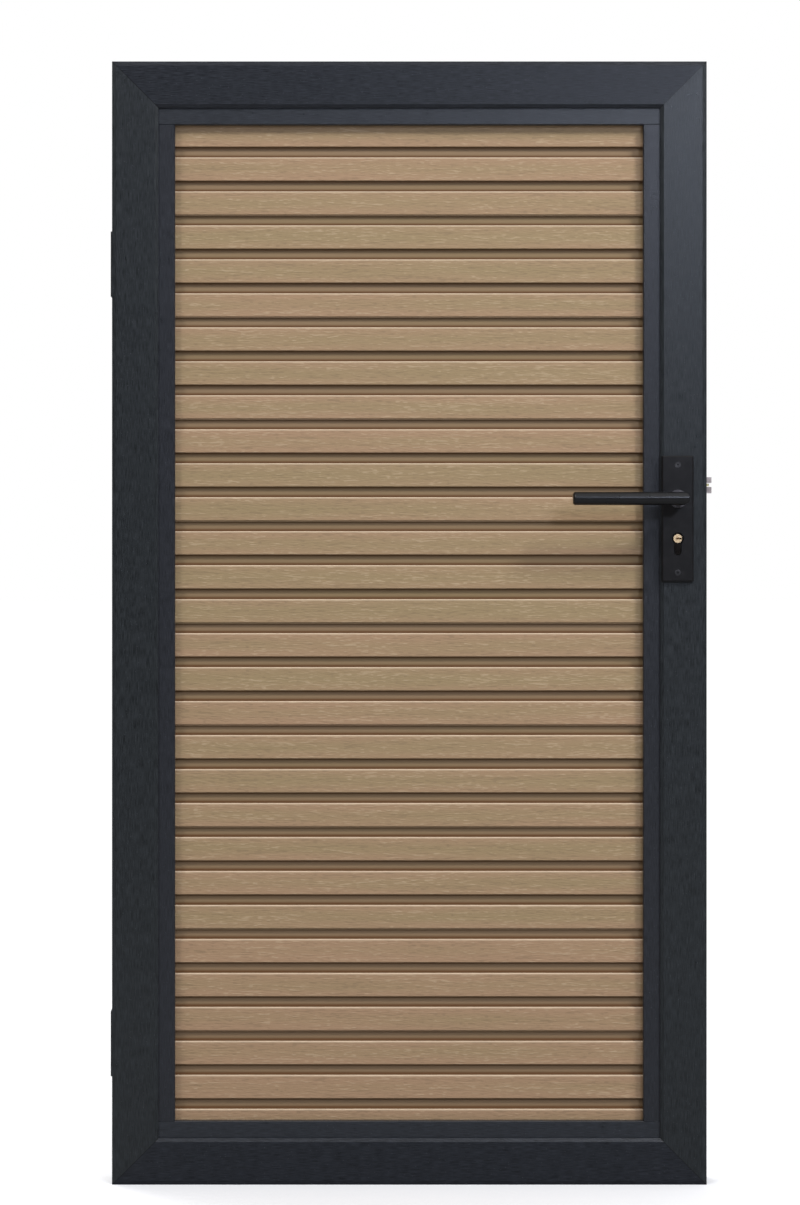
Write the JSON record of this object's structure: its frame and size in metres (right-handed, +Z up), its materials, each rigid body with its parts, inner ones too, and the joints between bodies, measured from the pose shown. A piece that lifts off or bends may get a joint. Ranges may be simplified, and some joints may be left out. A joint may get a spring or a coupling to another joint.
{
  "type": "garden gate",
  "caption": "Pedestrian garden gate: mitred anthracite aluminium frame, brown ribbed composite boards, black lever set, mortise lock, lift-off hinges.",
  "frame": {"origin": "middle of the leaf's foot, on the underside of the bottom rail", "axes": "+X from the hinge side to the lock side, +Y to the rear, where the leaf opens, +Z up"},
  "size_m": [0.919, 0.204, 1.7],
  "materials": {
    "frame_aluminium": "satin",
    "cleat_aluminium": "satin",
    "composite_board": "matte",
    "gasket_rubber": "matte",
    "block_plastic": "matte",
    "hinge_steel": "satin",
    "bright_steel": "satin",
    "lock_steel": "satin",
    "latch_steel": "satin",
    "brass": "satin",
    "cylinder_metal": "satin",
    "black_handle": "satin",
    "black_screw": "satin"
  },
  "bodies": {
    "gatepost_side": {"hinge_post_upper": "hinge_steel", "hinge_post_lower": "hinge_steel", "hinge_pins": "bright_steel", "hinge_washers": "brass"},
    "leaf": {"hinge_stile": "frame_aluminium", "lock_stile": "frame_aluminium", "top_rail": "frame_aluminium", "bottom_rail": "frame_aluminium", "bead_left": "frame_aluminium", "bead_right": "frame_aluminium", "bead_top": "frame_aluminium", "bead_bottom": "frame_aluminium", "corner_cleats": "cleat_aluminium", "board_1": "composite_board", "board_2": "composite_board", "board_3": "composite_board", "board_4": "composite_board", "board_5": "composite_board", "board_6": "composite_board", "board_7": "composite_board", "board_8": "composite_board", "board_9": "composite_board", "board_10": "composite_board", "front_gaskets": "gasket_rubber", "rear_gaskets": "gasket_rubber", "setting_blocks": "block_plastic", "hinge_leaf_upper": "hinge_steel", "hinge_leaf_lower": "hinge_steel", "hinge_screws": "bright_steel", "hinge_nuts": "bright_steel", "cleat_screws": "bright_steel", "case_screws": "bright_steel", "forend_clips": "bright_steel", "forend_screws": "bright_steel", "cylinder_screw": "bright_steel", "handle_spring": "bright_steel", "latch_spring": "bright_steel", "plate_sleeves": "bright_steel", "lock_case": "lock_steel", "lock_cover": "lock_steel", "forend": "lock_steel", "cylinder_body": "cylinder_metal", "front_plate": "black_handle", "rear_plate": "black_handle", "front_bush": "black_handle", "rear_bush": "black_handle", "plate_bolts": "black_screw"},
    "handle": {"front_lever": "black_handle", "rear_lever": "black_handle", "spindle": "bright_steel", "follower": "lock_steel", "grub_screws": "bright_steel"},
    "latch": {"latch_bolt": "latch_steel", "latch_insert": "brass"},
    "bolt": {"dead_bolt": "lock_steel"},
    "front_key_plug": {"front_plug": "brass", "cylinder_cam": "lock_steel"},
    "rear_key_plug": {"rear_plug": "brass"}
  },
  "joints": [
    {"name": "gate_swing", "type": "hinge", "parent": "gatepost_side", "child": "leaf", "pos_m": [-0.446, 0.039, 0.85], "axis": [0, 0, 1], "range_deg": [0, 90]},
    {"name": "handle_turn", "type": "hinge", "parent": "leaf", "child": "handle", "pos_m": [0.405, 0, 1.038], "axis": [0, -1, 0], "range_deg": [0, 40], "stiffness_Nm_per_rad": 1.5, "springref_deg": -28.65, "deforming": ["handle_spring"]},
    {"name": "latch_slide", "type": "slide", "parent": "leaf", "child": "latch", "axis": [-1, 0, 0], "range_m": [0, 0.012], "deforming": ["latch_spring"]},
    {"name": "front_key_turn", "type": "hinge", "parent": "leaf", "child": "front_key_plug", "pos_m": [0.405, 0, 0.978], "axis": [0, 1, 0], "range_deg": [0, 360]},
    {"name": "bolt_slide", "type": "slide", "parent": "leaf", "child": "bolt", "axis": [1, 0, 0], "range_m": [0, 0.02]},
    {"name": "rear_key_turn", "type": "hinge", "parent": "leaf", "child": "rear_key_plug", "pos_m": [0.405, 0, 0.978], "axis": [0, 1, 0], "range_deg": [0, 360]}
  ],
  "couplings": [
    {"joint": "latch_slide", "follows": "handle_turn", "m_per_rad": 0.01718},
    {"joint": "front_key_turn", "follows": "bolt_slide", "rad_per_m": 314.15}
  ]
}
